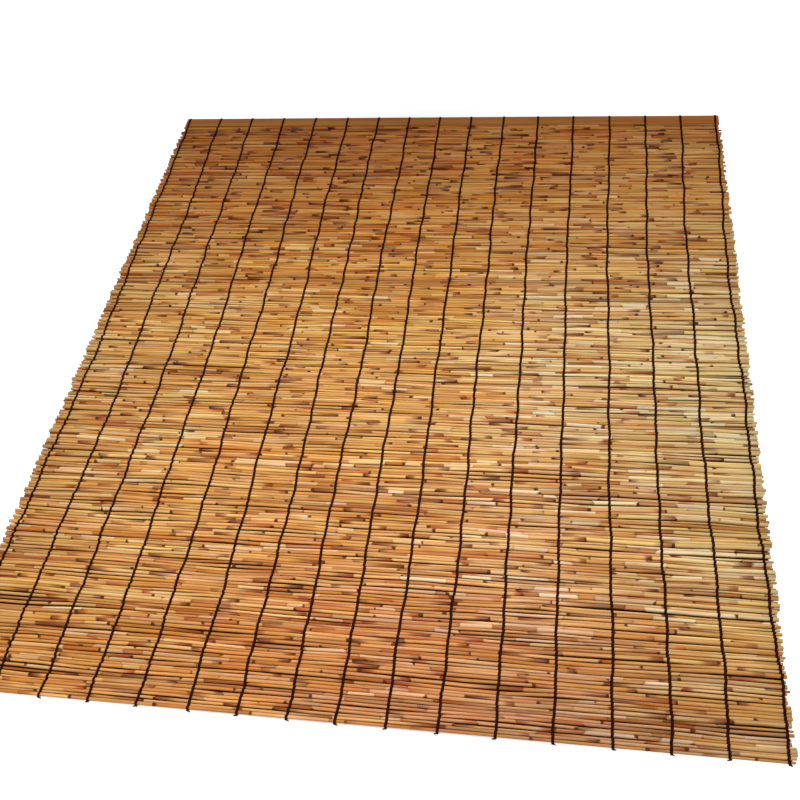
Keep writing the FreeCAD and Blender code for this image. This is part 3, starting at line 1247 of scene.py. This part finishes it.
def glowing_floor():
    """White floor whose glow is only seen, and grows with the distance from the mat."""
    material, shader, tree = floor_material("white_floor", FLOOR_WHITE)
    shader.inputs["Emission Color"].default_value = WHITE
    place = add_node(tree, "ShaderNodeTexCoord").outputs["Object"]
    distance = add_node(tree, "ShaderNodeVectorMath", operation="LENGTH")
    tree.links.new(place, distance.inputs[0])
    glow = remap(tree, distance.outputs["Value"], *GLOW_REACH, *FLOOR_GLOW)
    seen_glow = calculate(tree, "MULTIPLY", glow, seen_directly(tree))
    tree.links.new(seen_glow, shader.inputs["Emission Strength"])
    return material


print("beside the mat and far from it the floor glows by", FLOOR_GLOW)

# %% [markdown]
# Nine faces make the floor: the middle one lies under the mat and is dark brown painted shade, the
# eight round it are white. The middle one is a little smaller than the mat, so that it never shows
# beside it.

# %% Lay the floor
FLOOR_SIZE = 30.0
FLOOR_DROP = 0.2 * MM         # keeps the floor clear of the cords' undersides
# painted shade: the floor under the mat, seen through the slits
PAINTED_SHADE_UNDER_MAT = (0.10, 0.045, 0.012, 1.0)
PAINTED_SHADE_INSET = (9 * MM, 12 * MM)     # from the mat's edges, in x and y


def floor_mesh():
    """A large square with the mat's own footprint cut out of it as a face of its own, for the painted
    shade.
    """
    far_x, far_y = cad_bounds[1][0] - PAINTED_SHADE_INSET[0], cad_bounds[1][1] - PAINTED_SHADE_INSET[1]
    xs = (-FLOOR_SIZE / 2, -far_x, far_x, FLOOR_SIZE / 2)
    ys = (-FLOOR_SIZE / 2, -far_y, far_y, FLOOR_SIZE / 2)
    points = [(x, y, -FLOOR_DROP) for y in ys for x in xs]
    faces = [(4 * j + i, 4 * j + i + 1, 4 * j + i + 5, 4 * j + i + 4) for j in range(3) for i in range(3)]
    mesh = bpy.data.meshes.new("floor")
    mesh.from_pydata(points, [], faces)
    mesh.materials.append(glowing_floor())
    mesh.materials.append(floor_material("painted_shade_floor", PAINTED_SHADE_UNDER_MAT)[0])
    # the middle face gets the painted shade
    mesh.polygons[4].material_index = 1
    return mesh


floor = bpy.data.objects.new("floor", floor_mesh())
scene.collection.objects.link(floor)
print("floor of", len(floor.data.polygons), "faces")

# %% [markdown]
# ## The light
#
# Two lamps hang high over the near half of the mat, one to each side. Their beams have wide, soft
# edges, so the far end is darker, as in the photograph, while the light still falls steeply
# everywhere. They are large enough for soft shadows and small enough to shade each stem from its
# bright top to its dark sides. The world fills in the rest, and is white where it is seen.

# %% Light
FILL = 0.36                   # strength of the world's light on the mat
BEAM_ANGLE = 55               # degrees from edge to edge
LAMP_HEIGHT = 3.0             # metres above the floor
LAMP_PLACES = ((-0.76, -0.44), (0.80, -0.34))     # in x and y
LAMP_POWER = 268.0            # watts each
LAMP_RADIUS = 0.30            # metres; the larger, the softer the shadows

world = bpy.data.worlds.new("studio")
scene.world = world
world.use_nodes = True
sky = world.node_tree
backdrop = sky.nodes["Background"]
backdrop.inputs["Color"].default_value = WHITE
sky.links.new(remap(sky, seen_directly(sky), 0, 1, FILL, 1.0), backdrop.inputs["Strength"])

lamp_data = bpy.data.lights.new("soft_lamp", "SPOT")
lamp_data.spot_size = math.radians(BEAM_ANGLE)
lamp_data.spot_blend = 1.0
lamp_data.shadow_soft_size = LAMP_RADIUS
lamp_data.energy = LAMP_POWER
for number, (x, y) in enumerate(LAMP_PLACES, start=1):
    lamp = bpy.data.objects.new(f"soft_lamp_{number}", lamp_data)
    scene.collection.objects.link(lamp)
    lamp.location = (x, y, LAMP_HEIGHT)

scene.view_settings.view_transform = "Standard"
print(len(LAMP_PLACES), "lamps of", LAMP_POWER, "watts")
